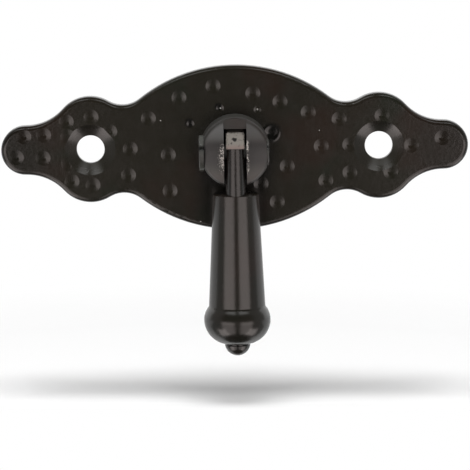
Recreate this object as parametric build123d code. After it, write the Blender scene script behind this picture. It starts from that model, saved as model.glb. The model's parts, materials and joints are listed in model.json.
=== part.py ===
from build123d import *
import math
import os

# Drop pull for a small door or drawer. A cast backplate with a wavy outline and hammered dents carries a
# forked post. A drop-shaped handle hangs in the fork on a rivet, so that it swings out to be pulled.
# The origin is the middle of the plate's back face, halfway between the screw holes. +X runs to the right,
# +Z up, and the front faces -Y. All sizes are millimetres and degrees.

# Backplate: one body arc, then a neck, a lobe over the screw, a waist and a round end on each side.
plate_width = 85.0
plate_height = 30.0
plate_thickness = 2.5
plate_edge_radius = 0.9
body_arc_radius = 28.0
neck_arc_radius = 5.0
lobe_height = 19.3
lobe_arc_radius = 6.6
waist_arc_radius = 9.15
end_arc_radius = 4.45

# Screw holes, countersunk from the front.
screw_spacing = 52.5
screw_hole_diameter = 5.1
countersink_diameter = 9.2
countersink_angle = 114.0

# Dents from a round-nosed punch, struck by hand into the front face.
dent_diameter = 2.7
dent_depth = 0.12
light_dent_diameter = 1.4
light_dent_depth = 0.08

# Where the dents lie, across and up: from the plate's middle, from each screw hole and from each round end.
middle_dents = [
    (-15.6, 5.6), (-12.1, -1.1), (-11.9, -7.7), (-10.0, 9.3), (-3.8, 11.3),
    (3.4, 9.9), (8.3, 8.3), (13.4, 6.3), (6.6, 2.5), (15.7, 0.1),
    (9.5, -3.5), (16.5, -6.2), (4.7, -6.6), (7.6, -10.0),
]
light_dents = [(-8.0, 4.5), (-2.6, 7.3), (4.2, 6.9)]
left_screw_dents = [
    (-4.25, 5.2), (0.25, 6.0), (-4.05, 2.5), (3.6, 3.3), (-4.0, -2.5),
    (-3.45, -5.7), (0.35, -6.4), (7.25, 0.1), (6.85, -4.7),
]
right_screw_dents = [(-7.25, 5.0), (0.55, 5.5), (-5.35, 0.3), (-5.35, -4.8), (2.1, -4.8), (5.85, 0.0)]
left_end_dents = [(-0.2, 2.6), (3.4, 2.8), (-1.65, -1.2), (3.2, -1.4)]
right_end_dents = [(-0.35, 1.3)]

# Forked post: a round foot on the plate, two cheeks with a slot between, and a bridge that closes the slot.
post_diameter = 12.6
post_height = 8.4
post_crown_radius = 21.0
post_rim_radius = 0.8
post_foot_bevel = 0.2
cheek_span = 11.3
slot_width = 4.1
bridge_setback = 1.0

# The post's tail passes through the plate and is hammered flat in a recess at the back.
tail_diameter = 6.0
tail_head_diameter = 8.6
tail_head_thickness = 0.9
tail_recess_diameter = 9.4
tail_recess_depth = 1.2

# Hinge rivet: a flat head on the left cheek, and an end hammered over on the right one.
hinge_height = 5.1
hinge_lowering = 0.3
rivet_diameter = 3.0
rivet_head_diameter = 6.5
rivet_head_thickness = 0.85
rivet_head_bevel = 0.15
rivet_tail_diameter = 4.9
rivet_tail_thickness = 0.42
rivet_tail_bevel = 0.22

# Drop handle: a round eye on a narrow stem, a barrel that widens downwards, a bulb and a domed finial.
eye_diameter = 8.6
eye_width = 3.25
eye_bevel = 0.22
stem_rise = 1.1
stem_depth = 8.1
stem_top_width = 3.0
stem_foot_width = 3.55
stem_root = 1.0
barrel_top_diameter = 8.2
barrel_foot_diameter = 10.24
barrel_bevel = 0.22
shoulder_drop = 7.3
bulb_drop = 30.4
bulb_step = 0.91
bulb_top_arc_radius = 3.7
bulb_foot_arc_radius = 4.4
bulb_cove_radius = 0.6
finial_diameter = 4.7
finial_neck_diameter = 4.0
finial_groove = 0.25
finial_tip_reach = 2.23

# Clearances: tail in its hole, rivet in the cheeks and in the eye, and round the eye where it turns.
tail_clearance = 0.05
rivet_clearance = 0.03
hinge_clearance = 0.08
eye_gap = 0.25
slot_floor_gap = 0.4
head_seat_margin = 0.4

# Sizes that follow from those above.
screw_offset = screw_spacing / 2
end_offset = plate_width / 2 - end_arc_radius
post_radius = post_diameter / 2
cheek_offset = cheek_span / 2
hinge_out = plate_thickness + hinge_height
eye_radius = eye_diameter / 2
stem_drop = shoulder_drop + stem_root
bulb_bottom = bulb_drop + bulb_foot_arc_radius
bulb_radius = barrel_foot_diameter / 2 + bulb_step

# Two working frames. On the wall plane X runs across, Y up and Z out of the wall. The hinge's own frame
# keeps the part's directions, and its origin is the middle of the rivet.
wall = Plane.XZ
hinge = Pos(0, -hinge_out, -hinge_lowering)
on_floor = (Align.CENTER, Align.CENTER, Align.MIN)


def touch_point(centre, radius, other):
    """The point of a circle that lies towards another point."""
    return centre + (other - centre).normalized() * radius


def arc_about(centre, radius, start, end):
    """The short arc from start to end about a centre."""
    return ThreePointArc(start, touch_point(centre, radius, (start + end) / 2), end)


def hollow_centre(left, left_radius, right, right_radius, radius):
    """Centre of the hollow arc above two bulging arcs that it touches."""
    step = right - left
    left_reach = left_radius + radius
    right_reach = right_radius + radius
    along = (left_reach**2 - right_reach**2 + step.length**2) / (2 * step.length)
    across = math.sqrt(left_reach**2 - along**2)
    ahead = step.normalized()
    return left + ahead * along + Vector(-ahead.Y, ahead.X) * across


def plate_outline():
    """The plate's outline, all of tangent arcs, the same on both sides and above and below."""
    body = Vector(0, plate_height / 2 - body_arc_radius)
    lobe = Vector(screw_offset, lobe_height / 2 - lobe_arc_radius)
    end = Vector(end_offset, 0)
    neck = hollow_centre(body, body_arc_radius, lobe, lobe_arc_radius, neck_arc_radius)
    waist = hollow_centre(lobe, lobe_arc_radius, end, end_arc_radius, waist_arc_radius)
    body_end = touch_point(body, body_arc_radius, neck)
    lobe_start = touch_point(lobe, lobe_arc_radius, neck)
    lobe_end = touch_point(lobe, lobe_arc_radius, waist)
    end_start = touch_point(end, end_arc_radius, waist)
    quarter = Curve() + [
        arc_about(neck, neck_arc_radius, body_end, lobe_start),
        arc_about(lobe, lobe_arc_radius, lobe_start, lobe_end),
        arc_about(waist, waist_arc_radius, lobe_end, end_start),
    ]
    half = quarter + mirror(quarter, Plane.YZ)
    half += ThreePointArc((-body_end.X, body_end.Y), (0, plate_height / 2), body_end)
    outline = half + mirror(half, Plane.XZ)
    for side in (-1, 1):
        corner = Vector(side * end_start.X, end_start.Y)
        outline += ThreePointArc(corner, (side * plate_width / 2, 0), (corner.X, -corner.Y))
    return make_face(outline.edges())


def dent(diameter, depth):
    """The tip of the punch for one dent, as far above the plane Z = 0 as below it."""
    nose_radius = (diameter**2 / 4 + depth**2) / (2 * depth)
    nose = Pos(0, 0, nose_radius - depth) * Sphere(nose_radius)
    return nose & Cylinder(diameter, 2 * depth)


def dents():
    """All dents, placed on the plate's front face."""
    groups = [
        (0, middle_dents),
        (-screw_offset, left_screw_dents),
        (screw_offset, right_screw_dents),
        (-end_offset, left_end_dents),
        (end_offset, right_end_dents),
    ]
    deep = dent(dent_diameter, dent_depth)
    light = dent(light_dent_diameter, light_dent_depth)
    places = [(start + across, up) for start, group in groups for across, up in group]
    struck = [Pos(across, up, plate_thickness) * deep for across, up in places]
    return struck + [Pos(across, up, plate_thickness) * light for across, up in light_dents]


def screw_hole():
    """A through hole with its countersink, on the plate's front."""
    hole_radius = screw_hole_diameter / 2
    sink_radius = countersink_diameter / 2
    sink_depth = (sink_radius - hole_radius) / math.tan(math.radians(countersink_angle / 2))
    hole = Cylinder(hole_radius, plate_thickness, align=on_floor)
    sink = Cone(hole_radius, sink_radius, sink_depth, align=on_floor)
    return hole + Pos(0, 0, plate_thickness - sink_depth) * sink


def backplate():
    """The cast plate: rounded front edge, dents, screw holes, and the post's hole and recess."""
    plate = extrude(plate_outline(), plate_thickness)
    plate = fillet(plate.faces().sort_by(Axis.Z)[-1].outer_wire().edges(), plate_edge_radius)
    plate -= dents()
    plate -= [Pos(side * screw_offset, 0, 0) * screw_hole() for side in (-1, 1)]
    plate -= Cylinder(tail_diameter / 2 + tail_clearance, plate_thickness, align=on_floor)
    plate -= Cylinder(tail_recess_diameter / 2, tail_recess_depth, align=on_floor)
    return wall * plate


def rings(shape):
    """A round shape's closed edges, from the lowest to the highest."""
    return shape.edges().filter_by(lambda edge: edge.is_closed).sort_by(Axis.Z)


def hinge_bore(diameter):
    """A bore along the hinge's axis, in the hinge's own frame."""
    return Rot(0, 90, 0) * Cylinder(diameter / 2, 2 * post_diameter)


def fork():
    """The post in front of the plate: crowned, flat on both sides, slotted and closed at the top."""
    post = Cylinder(post_radius, post_height, align=on_floor)
    post &= Pos(0, 0, post_height - post_crown_radius) * Sphere(post_crown_radius)
    post = fillet(rings(post)[-1], post_rim_radius)
    post = chamfer(rings(post)[0], post_foot_bevel)
    flat_start = hinge_height - rivet_head_diameter / 2 - head_seat_margin
    for side in (-1, 1):
        waste = Box(post_radius, post_diameter, post_height, align=on_floor)
        post -= Pos(side * (cheek_offset + post_radius / 2), 0, flat_start) * waste
    slot_floor = hinge_height - eye_radius - slot_floor_gap
    slot_top = eye_radius + eye_gap - hinge_lowering
    slot = Box(slot_width, post_diameter, post_height, align=(Align.CENTER, Align.MAX, Align.MIN))
    post -= Pos(0, slot_top, slot_floor) * slot
    bridge_front = Box(slot_width, post_diameter, post_height, align=on_floor)
    return post - Pos(0, 0, post_height - bridge_setback) * bridge_front


def handle_post():
    """The fork with its tail: a spigot through the plate, hammered to a flat head in the recess."""
    spigot_length = plate_thickness - tail_recess_depth
    tail = Pos(0, 0, tail_recess_depth) * Cylinder(tail_diameter / 2, spigot_length, align=on_floor)
    head_start = tail_recess_depth - tail_head_thickness
    tail += Pos(0, 0, head_start) * Cylinder(tail_head_diameter / 2, tail_head_thickness, align=on_floor)
    post = wall * (Pos(0, 0, plate_thickness) * fork() + tail)
    return post - hinge * hinge_bore(rivet_diameter + 2 * rivet_clearance)


def rivet_end(diameter, thickness, bevel):
    """One end of the rivet, standing on the cheek, with a bevelled outer edge."""
    end = Cylinder(diameter / 2, thickness, align=on_floor)
    return chamfer(rings(end)[-1], bevel)


def hinge_rivet():
    """The rivet through both cheeks and the eye."""
    shank = Cylinder(rivet_diameter / 2, cheek_span)
    head = rivet_end(rivet_head_diameter, rivet_head_thickness, rivet_head_bevel)
    tail = rivet_end(rivet_tail_diameter, rivet_tail_thickness, rivet_tail_bevel)
    head = Pos(0, 0, -cheek_offset) * Rot(180, 0, 0) * head
    return hinge * Rot(0, 90, 0) * (shank + head + Pos(0, 0, cheek_offset) * tail)


def finial_section():
    """The finial's edge: a short neck, a flat back, then a dome down to the tip."""
    ball_radius = finial_diameter / 2
    neck_radius = finial_neck_diameter / 2
    back = -bulb_bottom - finial_groove
    tip = Vector(0, -bulb_bottom - finial_tip_reach)
    centre = tip + Vector(0, ball_radius)
    rim = Vector(math.sqrt(ball_radius**2 - (centre.Y - back) ** 2), back)
    return [
        Line((neck_radius, back), rim),
        arc_about(centre, ball_radius, rim, tip),
        Line(tip, (0, -shoulder_drop)),
    ]


def barrel():
    """The barrel, bulb and finial: one section revolved about its own axis."""
    top_radius = barrel_top_diameter / 2
    foot_radius = barrel_foot_diameter / 2
    neck_radius = finial_neck_diameter / 2
    upper_centre = Vector(bulb_radius - bulb_top_arc_radius, -bulb_drop)
    lower_centre = Vector(bulb_radius - bulb_foot_arc_radius, -bulb_drop)
    upper_reach = math.sqrt(bulb_top_arc_radius**2 - (foot_radius - upper_centre.X) ** 2)
    lower_reach = math.sqrt(bulb_foot_arc_radius**2 - (neck_radius - lower_centre.X) ** 2)
    barrel_end = Vector(foot_radius, upper_reach - bulb_drop)
    widest = Vector(bulb_radius, -bulb_drop)
    neck_start = Vector(neck_radius, -bulb_drop - lower_reach)
    section = [
        Line((0, -shoulder_drop), (top_radius, -shoulder_drop)),
        Line((top_radius, -shoulder_drop), barrel_end),
        arc_about(upper_centre, bulb_top_arc_radius, barrel_end, widest),
        arc_about(lower_centre, bulb_foot_arc_radius, widest, neck_start),
        Line(neck_start, (neck_radius, -bulb_bottom - finial_groove)),
    ]
    turned = revolve(Plane.XZ * make_face(section + finial_section()), Axis.Z)
    cove = rings(turned).sort_by(lambda ring: abs(ring.center().Z - barrel_end.Y))[0]
    turned = fillet(cove, bulb_cove_radius)
    return chamfer(rings(turned)[-1], barrel_bevel)


def eye_and_stem():
    """The eye over the rivet, and the stem below it: fully rounded front and back, rooted in the barrel."""
    eye = Cylinder(eye_radius, eye_width)
    eye = Rot(0, 90, 0) * chamfer(rings(eye), eye_bevel)
    eye &= Pos(0, 0, stem_rise) * Box(eye_width, eye_diameter, eye_diameter, align=on_floor)
    stem_top = Pos(0, 0, stem_rise) * SlotOverall(stem_depth, stem_top_width, rotation=90)
    stem_foot = Pos(0, 0, -stem_drop) * SlotOverall(stem_depth, stem_foot_width, rotation=90)
    return eye + loft([stem_top.face(), stem_foot.face()])


def drop_handle():
    """The whole casting, bored for the rivet."""
    casting = barrel() + eye_and_stem()
    casting -= hinge_bore(rivet_diameter + 2 * hinge_clearance)
    return hinge * casting


os.makedirs("parts", exist_ok=True)
pieces = {
    "backplate": backplate(),
    "handle_post": handle_post(),
    "hinge_rivet": hinge_rivet(),
    "drop_handle": drop_handle(),
}
for name, piece in pieces.items():
    export_step(piece, f"parts/{name}.step")
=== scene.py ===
import bpy
import json
import math
from mathutils import Matrix, Vector


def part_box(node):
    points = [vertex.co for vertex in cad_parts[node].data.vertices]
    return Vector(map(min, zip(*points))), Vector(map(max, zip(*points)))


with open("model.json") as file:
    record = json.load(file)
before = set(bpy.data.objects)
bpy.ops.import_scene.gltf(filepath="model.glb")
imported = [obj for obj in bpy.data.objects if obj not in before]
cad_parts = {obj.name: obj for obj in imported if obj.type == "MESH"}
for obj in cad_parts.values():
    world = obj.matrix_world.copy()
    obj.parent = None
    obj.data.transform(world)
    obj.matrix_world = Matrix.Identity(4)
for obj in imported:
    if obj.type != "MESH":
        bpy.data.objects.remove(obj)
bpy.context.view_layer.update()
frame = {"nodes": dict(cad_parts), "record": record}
bpy.ops.object.select_all(action="DESELECT")

# Camera. The picture is taken from half a metre away through a long lens, a little above the handle and
# a touch to its left, and it hangs slightly off level. From there the plate's two ends look the same size.
picture_width = 470
pixels_per_metre = 5500
film_width = 36.0
camera_distance = 0.480
camera_azimuth = math.radians(-0.5)
camera_elevation = math.radians(6.5)
camera_roll = math.radians(0.78)
nearest_seen = 0.01
farthest_seen = 20.0
plate_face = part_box("backplate")[0].y
aim_point = Vector((-0.00018, plate_face, -0.01599))


def towards(azimuth, elevation):
    """The direction from the handle to a place at that azimuth, from the front, and that elevation."""
    level = math.cos(elevation)
    return Vector((math.sin(azimuth) * level, -math.cos(azimuth) * level, math.sin(elevation)))


camera_place = Vector((0, plate_face, 0)) + towards(camera_azimuth, camera_elevation) * camera_distance
ahead = (aim_point - camera_place).normalized()
right = ahead.cross(Vector((0, 0, 1))).normalized()
level_view = Matrix((right, right.cross(ahead), -ahead)).transposed()
rolled_view = Matrix.Rotation(camera_roll, 3, ahead) @ level_view
bpy.ops.object.camera_add()
camera = bpy.context.object
camera.name = "picture_camera"
camera.matrix_world = Matrix.Translation(camera_place) @ rolled_view.to_4x4()
camera.data.sensor_width = film_width
camera.data.lens = film_width * pixels_per_metre * camera_distance / picture_width
camera.data.clip_start = nearest_seen
camera.data.clip_end = farthest_seen
bpy.context.scene.camera = camera
bpy.context.scene.view_settings.view_transform = "Standard"


# Backplate. One zinc casting, 2.5 mm thick, its outline tumbled round and its face struck all over with a
# round-nosed punch. It is dipped in black lacquer, which flows thin over the edges. Painted shade darkens
# some dents and the plate round the post's foot. Its back is left as cast under the lacquer.
class Shade:
    """A shader socket. Sums and products of shades add Math nodes, and node() adds any other node."""

    def __init__(self, tree, socket=None):
        self.tree = tree
        self.socket = socket

    def node(self, kind, settings, inputs, output=0):
        """One new node: its settings first, then the value or the link of each socket."""
        made = self.tree.nodes.new("ShaderNode" + kind)
        for name, value in settings.items():
            setattr(made, name, value)
        for name, value in inputs.items():
            if isinstance(value, Shade):
                self.tree.links.new(value.socket, made.inputs[name])
            else:
                made.inputs[name].default_value = value
        return Shade(self.tree, made.outputs[output] if made.outputs else None)

    def maths(self, operation, first, second=0.0):
        return self.node("Math", {"operation": operation}, {0: first, 1: second})

    def __add__(self, other):
        return self.maths("ADD", self, other)

    def __radd__(self, other):
        return self.maths("ADD", other, self)

    def __sub__(self, other):
        return self.maths("SUBTRACT", self, other)

    def __rsub__(self, other):
        return self.maths("SUBTRACT", other, self)

    def __mul__(self, other):
        return self.maths("MULTIPLY", self, other)

    def __rmul__(self, other):
        return self.maths("MULTIPLY", other, self)

    def __abs__(self):
        return self.maths("ABSOLUTE", self)

    def or_more(self, other):
        """The greater of two shades."""
        return self.maths("MAXIMUM", self, other)

    def step(self, low, high):
        """0 below low, 1 above high, and a soft rise between."""
        inputs = {"Value": self, "From Min": low, "From Max": high}
        return self.node("MapRange", {"interpolation_type": "SMOOTHSTEP"}, inputs)

    def band(self, rise, fall):
        """1 between a soft rise and a soft fall, each given by its two ends."""
        return self.step(*rise) * (1 - self.step(*fall))

    def noise(self, size, detail, rough, shift):
        """Cloudy noise from 0 to 1 whose patches are about size metres across."""
        place = self.node("Mapping", {}, {"Vector": self, "Location": shift, "Scale": (1 / size,) * 3})
        inputs = {"Vector": place, "Scale": 1.0, "Detail": detail, "Roughness": rough}
        return self.node("TexNoise", {}, inputs)

    def mix(self, amount, base, over):
        """Colour base with colour over laid on it by amount."""
        inputs = {0: amount, 6: base, 7: over}
        return self.node("Mix", {"data_type": "RGBA", "clamp_factor": True}, inputs, output=2)

    def along(self, axis):
        """One coordinate of a place: X across, Y out towards the back, Z up."""
        return self.node("SeparateXYZ", {}, {0: self}, output=axis)


def new_finish(name):
    """An empty material, and the place on the piece that wears it."""
    material = bpy.data.materials.new(name)
    material.use_nodes = True
    material.node_tree.nodes.clear()
    start = Shade(material.node_tree)
    return material, start.node("TexCoord", {}, {}, output=3)


def lacquer(place, start, black, brown, green):
    """Black lacquer as it dries on a rough casting: its colour, its roughness and its height."""
    brown_cloud = place.noise(0.012, 2.0, 0.5, (start, 0, 0)).step(0.48, 0.66)
    green_cloud = place.noise(0.009, 2.0, 0.5, (start + 7, 3, 1)).step(0.5, 0.7)
    thin_cloud = place.noise(0.0022, 4.0, 0.55, (1, start, 5))
    thin_black = (0.016, 0.014, 0.011, 1)
    colour = place.mix(brown_cloud * 0.8, place.mix(green_cloud * 0.8, black, green), brown)
    colour = place.mix(thin_cloud.step(0.35, 0.75) * 0.3, colour, thin_black)
    grain = place.noise(0.00016, 3.0, 0.6, (start, 0, 0))
    peel = place.noise(0.00065, 2.0, 0.45, (4, 2, start))
    roughness = 0.14 + 0.06 * thin_cloud + 0.05 * grain
    height = 0.75 * peel + 0.25 * grain
    return colour, roughness, height


def spots(place, out, places):
    """Soft round spots at one depth: how far each lies across and up and its radius, in millimetres."""
    near = 0
    for across, up, radius in places:
        middle = (across / 1000, out, up / 1000)
        reach = place.node("VectorMath", {"operation": "DISTANCE"}, {0: place, 1: middle}, output=1)
        near = near + (1 - reach.step(0.0005 * radius, 0.001 * radius))
    return near


def coat(place, colour, roughness, height, depth):
    """The lacquer's surface, with a relief of that depth in metres for a height from 0 to 1."""
    bump = place.node("Bump", {}, {"Height": height, "Distance": depth})
    inputs = {"Base Color": colour, "Roughness": roughness, "Normal": bump, "Specular IOR Level": 0.72}
    surface = place.node("BsdfPrincipled", {}, inputs)
    place.node("OutputMaterial", {}, {"Surface": surface})


def dress(piece, finish):
    """A finish put on a piece, in place of its plain one."""
    slots = frame["nodes"][piece].data.materials
    slots.clear()
    slots.append(finish)


plate_black = (0.0115, 0.0102, 0.0065, 1)
plate_brown = (0.0165, 0.0098, 0.0065, 1)
plate_green = (0.0090, 0.0110, 0.0065, 1)
plate_finish, place = new_finish("black_lacquer_on_hammered_plate")
across = place.along("X")
out = place.along("Y")
colour, roughness, height = lacquer(place, 0.3, plate_black, plate_brown, plate_green)

# Painted shade: the plate darker towards both ends.
end_shade_start = (0.030, 0.040)
painted_end_shade = (0.004, 0.0035, 0.002, 1)
colour = place.mix(0.6 * abs(across).step(*end_shade_start), colour, painted_end_shade)

back_start = (-0.0006, -0.0001)
back_grey = (0.034, 0.032, 0.029, 1)
at_back = out.step(*back_start)
blotches = place.noise(0.0035, 4.0, 0.65, (6, 1, 9))
cast_skin = place.noise(0.0006, 3.0, 0.6, (8, 8, 8)) - 0.5
colour = place.mix(at_back * blotches.step(0.35, 0.65), colour, back_grey)

# Painted shade: dark spots in the deepest dents and round the post's foot, where shade falls.
painted_shade_places = [(6.9, 2.8, 2.1), (-8.2, 4.7, 1.1), (-2.9, 7.6, 0.9), (0, -0.8, 9.6)]
painted_shade_black = (0.0015, 0.0015, 0.001, 1)
colour = place.mix(0.9 * spots(place, plate_face, painted_shade_places), colour, painted_shade_black)

# Light grey spots: nicks to bare zinc, and on the two craters above the post painted highlights too.
nick_and_highlight_places = [
    (-13.4, 5.2, 0.13), (15.4, 3.0, 0.11), (-6.4, -13.4, 0.13), (4.2, 7.0, 0.20), (-2.5, 7.3, 0.18),
]
zinc_and_highlight_grey = (0.42, 0.41, 0.39, 1)
nick_and_highlight = spots(place, plate_face, nick_and_highlight_places)
colour = place.mix(nick_and_highlight, colour, zinc_and_highlight_grey)

screw_offset = frame["record"]["mounts"][0]["dims"]["spacing_x_mm"] / 2
countersink_depth = -0.0018
countersink_reach = 5.0
countersinks = [(-screw_offset, 0, countersink_reach), (screw_offset, 0, countersink_reach)]
bored = spots(place, countersink_depth, countersinks)

burr_foot = [(6.6, 2.5, 1.8)]
burr_bowl = [(6.8, 2.75, 1.45)]
burr = spots(place, plate_face, burr_foot) - spots(place, plate_face, burr_bowl)
roughness = roughness + 0.25 * nick_and_highlight + 0.14 * bored + 0.25 * at_back * blotches
height = height + 8.0 * burr + 3.0 * at_back * cast_skin
coat(place, colour, roughness, height, depth=1.6e-5)
dress("backplate", plate_finish)

# Forked post. A round zinc boss, milled flat on both sides and slotted for the eye, with its tail riveted
# through the plate. Fitting the eye has scraped the lacquer off the slot's edges, down to the grey metal.
# Painted light lightens the top and the foot of its face and the upper part of its round wall, and painted
# shade darkens a band across the middle of its face.
post_black = (0.020, 0.020, 0.018, 1)
post_brown = (0.024, 0.019, 0.017, 1)
post_green = (0.018, 0.021, 0.018, 1)
post_finish, place = new_finish("black_lacquer_on_forked_post")
across = place.along("X")
out = place.along("Y")
up = place.along("Z")
colour, roughness, height = lacquer(place, 2.3, post_black, post_brown, post_green)
right_side = across.step(-0.0001, 0.0001)
left_side = 1 - right_side

face_rim = (-0.0102, -0.0100)
# Painted light: the face lighter towards its top, more on the left cheek.
upper_light_start = (0.0006, 0.0042)
painted_upper_light = (0.090, 0.091, 0.090, 1)
# Painted light: the face lighter towards its foot.
lower_light_end = (-0.0044, -0.0024)
painted_lower_light = (0.046, 0.041, 0.036, 1)
on_face = 1 - out.step(*face_rim)
colour = place.mix((0.6 + 0.35 * left_side) * up.step(*upper_light_start) * on_face, colour, painted_upper_light)
colour = place.mix(0.9 * (1 - up.step(*lower_light_end)) * on_face, colour, painted_lower_light)

# Painted shade: a dark band across the middle of the face.
painted_middle_shade = (0.002, 0.002, 0.002, 1)
# Painted light: the upper part of the round wall lighter.
wall_rim = (-0.0098, -0.0094)
wall_start = (0.0010, 0.0040)
painted_wall_light = (0.050, 0.049, 0.046, 1)
colour = place.mix(0.95 * up.band((-0.0032, -0.0012), (0.0010, 0.0028)), colour, painted_middle_shade)
colour = place.mix(0.8 * out.step(*wall_rim) * up.step(*wall_start), colour, painted_wall_light)

slot_edge = 0.00205
left_wear_width = 0.0014
right_wear_width = 0.0007
near_slot = 1 - (abs(across) - slot_edge).step(
    0.0001, left_wear_width - (left_wear_width - right_wear_width) * right_side
)
left_wear = up.band((-0.0036, -0.0020), (0.0012, 0.0020)) * left_side
right_wear = up.band((0.0001, 0.0008), (0.0018, 0.0024)) * right_side
faint_wear = 0.45 * up.band((-0.0046, -0.0030), (0.0002, 0.0010))
worn = near_slot * (left_wear + right_wear + faint_wear) * (1 - out.step(-0.0104, -0.0096))
flakes = place.noise(0.00019, 2.0, 0.6, (5, 5, 5))
chipped = ((0.32 + 0.3 * right_side) * worn + 2.4 * (flakes - 0.5)).step(0.33, 0.50) * worn.step(0.05, 0.2)
scraped_zinc = (0.38, 0.36, 0.335, 1)
colour = place.mix(chipped, colour, scraped_zinc)
coat(place, colour, roughness + 0.17 + 0.1 * chipped, height - 0.8 * chipped, depth=2.6e-5)
dress("handle_post", post_finish)

# Hinge rivet. A mild steel rivet with a flat head, put in from the left and hammered over on the right,
# then lacquered with the rest. The hammered end keeps shallow flats, and the head's rim is folded in front.
rivet_black = (0.055, 0.055, 0.051, 1)
rivet_brown = (0.060, 0.053, 0.049, 1)
rivet_green = (0.051, 0.056, 0.049, 1)
rivet_finish, place = new_finish("black_lacquer_on_hammered_rivet")
out = place.along("Y")
up = place.along("Z")
colour, roughness, height = lacquer(place, 5.1, rivet_black, rivet_brown, rivet_green)

# Painted shade: the fold's line darkened where shade falls in it.
fold_height = 0.0009
painted_fold_shade = (0.002, 0.002, 0.0015, 1)
# Painted light: the head lighter towards its top.
head_top = (0.0010, 0.0030)
painted_head_top_light = (0.085, 0.086, 0.080, 1)
flats = place.noise(0.0011, 1.0, 0.4, (3, 1, 2))
fold = (1 - abs(up - fold_height).step(0.0001, 0.0007)) * (1 - out.step(-0.0100, -0.0088))
colour = place.mix(0.95 * fold, colour, painted_fold_shade)
colour = place.mix(0.6 * up.step(*head_top), colour, painted_head_top_light)
coat(place, colour, roughness + 0.06, 0.25 * height + 0.75 * flats - 1.5 * fold, depth=7.0e-5)
dress("hinge_rivet", rivet_finish)

# Drop handle. One zinc casting: round eye and stem, barrel, bulb and finial, polished before it is
# lacquered, so it shines more than the plate. The top of the eye rubs under the bridge and has gone grey,
# painted lighter still as light from above, and it shows a casting pit. Painted shade darkens the stem.
drop_black = (0.0095, 0.0085, 0.0060, 1)
drop_brown = (0.0160, 0.0090, 0.0070, 1)
drop_green = (0.0080, 0.0095, 0.0060, 1)
drop_finish, place = new_finish("black_lacquer_on_drop")
up = place.along("Z")
colour, roughness, height = lacquer(place, 8.7, drop_black, drop_brown, drop_green)

# Worn grey on the eye's top, with painted light from above in it.
eye_foot = (0.00070, 0.00095)
worn_and_lit_eye_grey = (0.165, 0.152, 0.135, 1)
rosy_end = (0.0009, 0.0018)
rosy_grey = (0.185, 0.130, 0.118, 1)
mottled = place.noise(0.0005, 3.0, 0.6, (2, 8, 4))
rubbed_and_lit = up.step(*eye_foot) * mottled.step(0.26, 0.44)
rosy = rubbed_and_lit * (1 - up.step(*rosy_end))
colour = place.mix(rubbed_and_lit, colour, worn_and_lit_eye_grey)
colour = place.mix(0.7 * rosy, colour, rosy_grey)

pit_depth = -0.0109
pit_places = [(-0.42, 3.0, 0.36), (-0.28, 2.65, 0.40), (-0.08, 2.3, 0.45), (0.14, 2.65, 0.3)]
pit_black = (0.010, 0.009, 0.008, 1)
pit = spots(place, pit_depth, pit_places)
colour = place.mix(pit, colour, pit_black)

# Painted shade: the stem and the eye darker, except the worn top.
stem_foot = (-0.0082, -0.0074)
painted_stem_shade = (0.003, 0.0027, 0.002, 1)
stem = up.step(*stem_foot)
colour = place.mix(0.7 * stem * (1 - rubbed_and_lit), colour, painted_stem_shade)
roughness = roughness + 0.03 + 0.04 * stem + 0.3 * rubbed_and_lit
coat(place, colour, roughness, height - 0.5 * rubbed_and_lit - 2.0 * pit, depth=1.2e-5)
dress("drop_handle", drop_finish)

# Table behind and under the handle. A matt white board a little below the finial, which takes the handle's
# soft shadow and runs out into the white of the studio on all sides. It leans as the picture does.
table_height = -0.050
table_front = 0.0045
table_back = 1.6
table_half_width = 1.4
table_fall = math.tan(camera_roll)
fade_depth = 0.009
shadow_reach = 0.16
least_glow = 0.09
board_white = (0.80, 0.80, 0.80, 1)
white = (1, 1, 1, 1)

bpy.ops.mesh.primitive_plane_add(size=2, location=(0, 0, 0))
table = bpy.context.object
table.name = "white_table"
bpy.ops.object.mode_set(mode="EDIT")
bpy.ops.transform.resize(value=(table_half_width, (table_back - table_front) / 2, 1))
bpy.ops.transform.translate(value=(0, (table_back + table_front) / 2, table_height))
bpy.ops.object.mode_set(mode="OBJECT")
for corner in table.data.vertices:
    corner.co.z -= corner.co.x * table_fall
table_finish, place = new_finish("matt_white_board")
out = place.along("Y")
span = place.node("VectorMath", {"operation": "LENGTH"}, {0: place}, output=1)
far = span.step(shadow_reach * 0.6, shadow_reach)
fore = 1 - out.step(table_front, table_front + fade_depth)
matt = place.node("BsdfDiffuse", {}, {"Color": board_white})
glow = place.node("Emission", {}, {"Color": white, "Strength": 1.0})
surface = place.node("MixShader", {}, {0: far.or_more(fore).or_more(least_glow), 1: matt, 2: glow})
place.node("OutputMaterial", {}, {"Surface": surface})
table.data.materials.append(table_finish)

# Soft boxes and lamp. Three tall boxes stand one above the other on each side of the camera, with a dark gap
# between the two sides, so that black lacquer shows clear bands. Two small ones shine up from the sides into
# the countersinks, and a round lamp overhead throws the shadow on the table.
box_distance = 1.0
left_edges = (math.radians(-56), math.radians(-9.8))
right_edges = (math.radians(10), math.radians(54))
low_ends = (-1.55, -0.2)
middle_ends = (-0.2, 0.03)
high_ends = (1.10, 1.95)
low_brightness = 1.15
middle_brightness = 1.75
high_brightness = 1.5
warm_light = (1.0, 0.90, 0.87)
white_light = (1, 1, 1)
sink_azimuth = math.radians(64)
sink_elevation = math.radians(-45)
sink_box_size = 0.5
lamp_elevation = math.radians(61.5)
lamp_size = 0.36
lamp_brightness = 26.0


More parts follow.
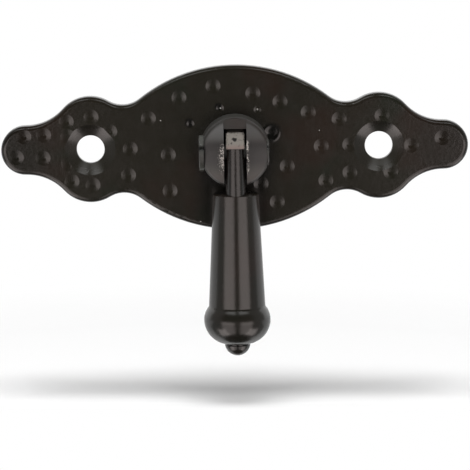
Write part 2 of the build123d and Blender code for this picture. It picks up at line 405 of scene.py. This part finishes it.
def soft_box(name, azimuth, elevation, width, height, brightness, colour):
    """A soft box in that direction, facing the handle."""
    turn = (math.radians(90) - elevation, 0, azimuth)
    bpy.ops.object.light_add(type="AREA", location=towards(azimuth, elevation) * box_distance, rotation=turn)
    box = bpy.context.object
    box.name = name
    box.data.shape = "RECTANGLE"
    box.data.size = width
    box.data.size_y = height
    box.data.color = colour
    box.data.energy = brightness * math.pi * width * height
    box.visible_camera = False
    return box


def tall_box(name, edges, ends, brightness, colour):
    """An upright soft box between two directions, from its bottom end to its top end."""
    bottom, top = ends
    width = 2 * box_distance * math.tan((edges[1] - edges[0]) / 2)
    box = soft_box(name, (edges[0] + edges[1]) / 2, 0, width, top - bottom, brightness, colour)
    box.location.z = (top + bottom) / 2


for word, edges in (("left", left_edges), ("right", right_edges)):
    tall_box(f"low_{word}_box", edges, low_ends, low_brightness, warm_light)
    tall_box(f"middle_{word}_box", edges, middle_ends, middle_brightness, warm_light)
    tall_box(f"high_{word}_box", edges, high_ends, high_brightness, white_light)
for word, side in (("left", -1), ("right", 1)):
    name = f"sink_{word}_box"
    azimuth = side * sink_azimuth
    soft_box(name, azimuth, sink_elevation, sink_box_size, sink_box_size, middle_brightness, warm_light)
lamp = soft_box("overhead_lamp", 0, lamp_elevation, lamp_size, lamp_size, lamp_brightness, white_light)
lamp.data.shape = "ELLIPSE"
lamp.visible_glossy = False

# Dark tent. Black velvet hung in a round behind the camera and closed above and below, a little lighter far
# out at the sides. The lacquer shows it between and beyond the soft boxes.
tent_radius = 1.35
tent_bottom = -2.5
tent_top = 2.0
tent_half_angle = math.radians(112)
tent_folds = 160
light_velvet_start = (1.0, 1.3)
dark_velvet = (0.045, 0.045, 0.045, 1)
light_velvet = (0.25, 0.25, 0.25, 1)

bpy.ops.mesh.primitive_circle_add(vertices=tent_folds, radius=tent_radius, location=(0, 0, tent_bottom))
tent = bpy.context.object
tent.name = "dark_tent"
bpy.ops.object.mode_set(mode="EDIT")
bpy.ops.mesh.select_all(action="DESELECT")
bpy.ops.object.mode_set(mode="OBJECT")
for corner in tent.data.vertices:
    corner.select = abs(math.atan2(corner.co.x, -corner.co.y)) > tent_half_angle
bpy.ops.object.mode_set(mode="EDIT")
bpy.ops.mesh.delete(type="VERT")
bpy.ops.mesh.select_all(action="SELECT")
bpy.ops.mesh.extrude_edges_move(TRANSFORM_OT_translate={"value": (0, 0, tent_top - tent_bottom)})
for end in (tent_bottom, tent_top):
    bpy.ops.mesh.primitive_circle_add(
        vertices=tent_folds, radius=tent_radius, fill_type="NGON", location=(0, 0, end)
    )
bpy.ops.object.mode_set(mode="OBJECT")
tent.visible_camera = False
tent_finish, place = new_finish("dark_velvet")
across = place.along("X")
dark_glow = place.node("Emission", {}, {"Color": dark_velvet, "Strength": 1.0})
light_glow = place.node("Emission", {}, {"Color": light_velvet, "Strength": 1.0})
aside = abs(across).step(*light_velvet_start)
surface = place.node("MixShader", {}, {0: aside, 1: dark_glow, 2: light_glow})
place.node("OutputMaterial", {}, {"Surface": surface})
tent.data.materials.append(tent_finish)

# Grey felt. A sheet laid on the table behind the handle. The picture doesn't show it, only the lacquer
# does, so that the lower rims of the plate and of the drop stay darker than they would over bare white.
felt_height = table_height + 0.0005
felt_grey = (0.75, 0.75, 0.75, 1)

bpy.ops.mesh.primitive_plane_add(size=2, location=(0, 0, 0))
felt = bpy.context.object
felt.name = "grey_felt"
for corner in felt.data.vertices:
    corner.co.x *= tent_radius
    corner.co.y = table_front + tent_radius * max(corner.co.y, 0)
    corner.co.z = felt_height - corner.co.x * table_fall
felt.visible_camera = False
felt.visible_diffuse = False
felt.visible_shadow = False
felt_finish, place = new_finish("grey_cotton")
glow = place.node("Emission", {}, {"Color": felt_grey, "Strength": 1.0})
place.node("OutputMaterial", {}, {"Surface": glow})
felt.data.materials.append(felt_finish)

# White studio. Behind the table and all round stands nothing but evenly lit white paper.
studio = bpy.data.worlds.new("white_studio")
studio.use_nodes = True
studio.node_tree.nodes.clear()
air = Shade(studio.node_tree)
paper = air.node("Background", {}, {"Color": white, "Strength": 1.0})
air.node("OutputWorld", {}, {"Surface": paper})
bpy.context.scene.world = studio
